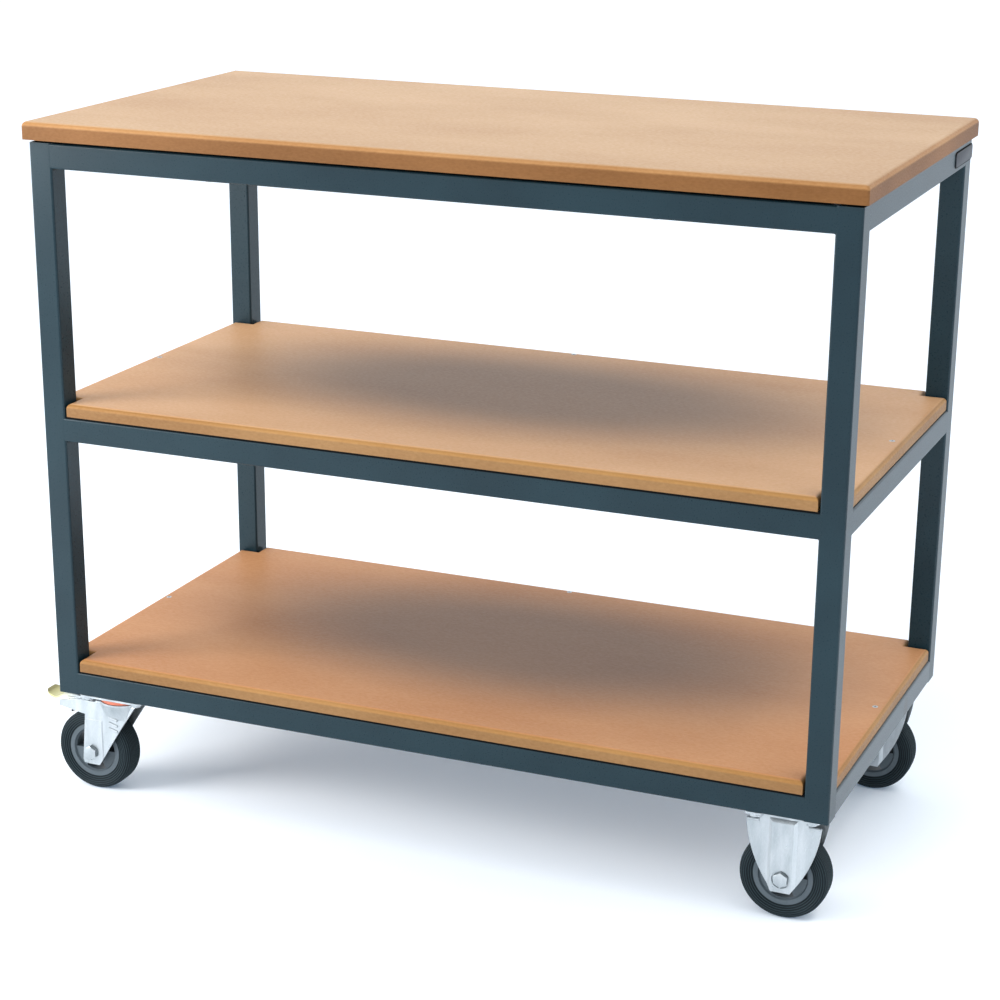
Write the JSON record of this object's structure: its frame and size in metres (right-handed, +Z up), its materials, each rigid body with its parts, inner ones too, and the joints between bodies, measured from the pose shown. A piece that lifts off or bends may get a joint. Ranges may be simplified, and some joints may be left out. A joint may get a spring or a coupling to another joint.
{
  "type": "mobile work table",
  "caption": "Mobile work table with a dark square-tube steel frame, a fibreboard worktop and two shelves, on fixed and braked swivel casters",
  "frame": {"origin": "on the floor, under the middle of the overall length and width", "axes": "+X to the fixed-caster end, -Y to the front, +Z up"},
  "size_m": [1.234, 0.614, 1.008],
  "materials": {
    "frame_paint": "satin anthracite powder coat",
    "fibreboard": "smooth sealed fibreboard with rounded edges",
    "black_rubber": "matte",
    "tyre_rubber": "matte grey-black rubber",
    "rim_plastic": "moulded grey",
    "bearing_plastic": "matte",
    "seal_plastic": "orange-red moulded ring",
    "yellow_zinc": "yellow-passivated zinc",
    "zinc": "bright zinc plating"
  },
  "bodies": {
    "table": {"bottom_rail_front": "frame_paint", "bottom_rail_left": "frame_paint", "bottom_rail_rear": "frame_paint", "bottom_rail_right": "frame_paint", "bottom_shelf": "fibreboard", "caster_bolts": "zinc", "corner_gussets": "frame_paint", "cushion_strips": "black_rubber", "dust_seal_front": "seal_plastic", "dust_seal_rear": "seal_plastic", "fixed_axle_bolts": "zinc", "fixed_axle_sleeves": "zinc", "fixed_bracket_front": "zinc", "fixed_bracket_rear": "zinc", "frame_welds": "frame_paint", "kingpins": "zinc", "leg_foot_plates": "frame_paint", "leg_front_left": "frame_paint", "leg_front_right": "frame_paint", "leg_rear_left": "frame_paint", "leg_rear_right": "frame_paint", "middle_rail_front": "frame_paint", "middle_rail_left": "frame_paint", "middle_rail_rear": "frame_paint", "middle_rail_right": "frame_paint", "middle_shelf": "fibreboard", "shelf_screws": "zinc", "swivel_plate_front": "zinc", "swivel_plate_rear": "zinc", "top_rail_front": "frame_paint", "top_rail_left": "frame_paint", "top_rail_rear": "frame_paint", "top_rail_right": "frame_paint", "weld_nuts": "zinc", "worktop": "fibreboard", "worktop_screws": "zinc"},
    "swivel_front": {"swivel_fork_front": "zinc", "swivel_axle_bolt_front": "zinc", "swivel_axle_sleeve_front": "zinc", "race_balls_front": "zinc"},
    "pedal_front": {"brake_pedal_front": "yellow_zinc", "brake_shoe_front": "black_rubber"},
    "wheel_front_left": {"tyre_front_left": "tyre_rubber", "rim_front_left": "rim_plastic", "bearing_front_left": "bearing_plastic"},
    "wheel_front_right": {"tyre_front_right": "tyre_rubber", "rim_front_right": "rim_plastic", "bearing_front_right": "bearing_plastic"},
    "swivel_rear": {"swivel_fork_rear": "zinc", "swivel_axle_bolt_rear": "zinc", "swivel_axle_sleeve_rear": "zinc", "race_balls_rear": "zinc"},
    "pedal_rear": {"brake_pedal_rear": "yellow_zinc", "brake_shoe_rear": "black_rubber"},
    "wheel_rear_left": {"tyre_rear_left": "tyre_rubber", "rim_rear_left": "rim_plastic", "bearing_rear_left": "bearing_plastic"},
    "wheel_rear_right": {"tyre_rear_right": "tyre_rubber", "rim_rear_right": "rim_plastic", "bearing_rear_right": "bearing_plastic"}
  },
  "joints": [
    {"name": "swivel_front_turn", "type": "hinge", "parent": "table", "child": "swivel_front", "pos_m": [-0.49, -0.259, 0.1475], "axis": [0, 0, 1], "continuous": true},
    {"name": "pedal_front_press", "type": "hinge", "parent": "swivel_front", "child": "pedal_front", "pos_m": [-0.549, -0.259, 0.14], "axis": [0, -1, 0], "range_deg": [0, 8]},
    {"name": "wheel_front_left_spin", "type": "hinge", "parent": "swivel_front", "child": "wheel_front_left", "pos_m": [-0.535, -0.259, 0.0625], "axis": [0, 1, 0], "continuous": true},
    {"name": "wheel_front_right_spin", "type": "hinge", "parent": "table", "child": "wheel_front_right", "pos_m": [0.545, -0.259, 0.0625], "axis": [0, 1, 0], "continuous": true},
    {"name": "swivel_rear_turn", "type": "hinge", "parent": "table", "child": "swivel_rear", "pos_m": [-0.49, 0.214, 0.1475], "axis": [0, 0, 1], "continuous": true},
    {"name": "pedal_rear_press", "type": "hinge", "parent": "swivel_rear", "child": "pedal_rear", "pos_m": [-0.549, 0.214, 0.14], "axis": [0, -1, 0], "range_deg": [0, 8]},
    {"name": "wheel_rear_left_spin", "type": "hinge", "parent": "swivel_rear", "child": "wheel_rear_left", "pos_m": [-0.535, 0.214, 0.0625], "axis": [0, 1, 0], "continuous": true},
    {"name": "wheel_rear_right_spin", "type": "hinge", "parent": "table", "child": "wheel_rear_right", "pos_m": [0.545, 0.214, 0.0625], "axis": [0, 1, 0], "continuous": true}
  ]
}
